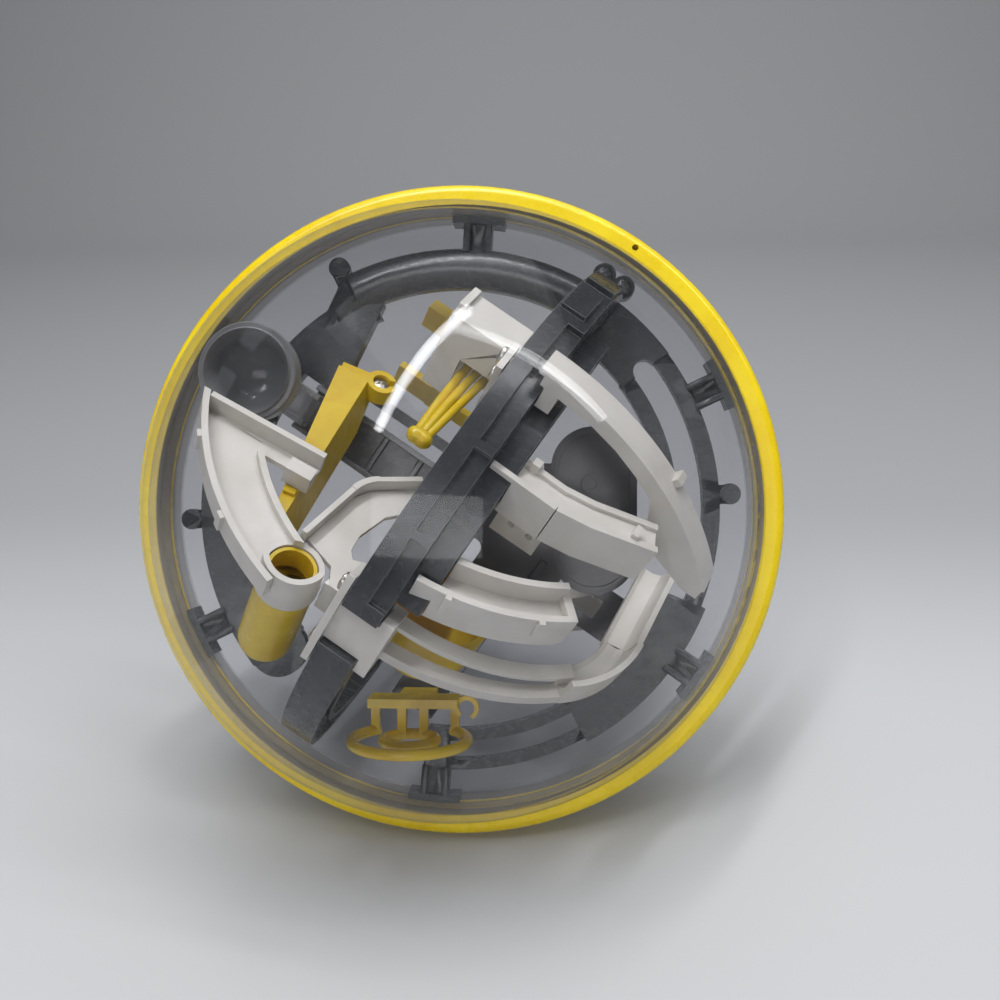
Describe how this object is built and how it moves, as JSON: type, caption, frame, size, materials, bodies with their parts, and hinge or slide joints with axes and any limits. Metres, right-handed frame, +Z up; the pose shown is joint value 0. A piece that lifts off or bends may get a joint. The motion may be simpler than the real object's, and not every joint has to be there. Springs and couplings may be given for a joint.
{
  "type": "ball maze puzzle",
  "caption": "Handheld dexterity puzzle: a clear sphere in a yellow equator ring holds arched tracks, chutes and tubes for a steel ball, resting on its dome and ring edge.",
  "frame": {"origin": "on the floor under the centre of the sphere", "axes": "+Z up, +X to the right across the ring as seen from the front, -Y towards the viewer"},
  "size_m": [0.184, 0.172, 0.1719],
  "materials": {
    "ring_yellow": "smooth moulded, bright yellow",
    "track_yellow": "smooth moulded, warm yellow",
    "charcoal": "satin moulded, charcoal",
    "black": "gloss moulded, near black",
    "white": "smooth moulded, off-white",
    "clear": "clear moulded, lightly scratched",
    "screw_steel": "bright plated",
    "ball_steel": "polished"
  },
  "bodies": {
    "sphere": {"equator_ring": "ring_yellow", "front_dome": "clear", "rear_dome": "clear", "mid_frame": "charcoal", "start_bowl": "black", "start_trough": "black", "centre_plate": "black", "cover_plate": "black", "front_arch": "charcoal", "rear_arch": "charcoal", "scoop_track": "white", "drop_tube": "track_yellow", "ramp_plate": "white", "box_chute": "white", "crescent_track": "white", "arm_track": "white", "channel_track": "white", "twin_rails": "white", "yellow_arm": "track_yellow", "rod_bridge": "track_yellow", "spiral_hook": "track_yellow", "half_tub": "track_yellow", "boss_screws": "screw_steel", "track_screws": "screw_steel", "arm_screw": "screw_steel", "rear_channel": "white", "rear_chute": "track_yellow"},
    "ball": {"steel_ball": "ball_steel"}
  },
  "joints": [
    {"name": "ball_drop", "type": "slide", "parent": "sphere", "child": "ball", "axis": [0.4005, -0.4143, 0.8173], "range_m": [0, 0.037]}
  ]
}
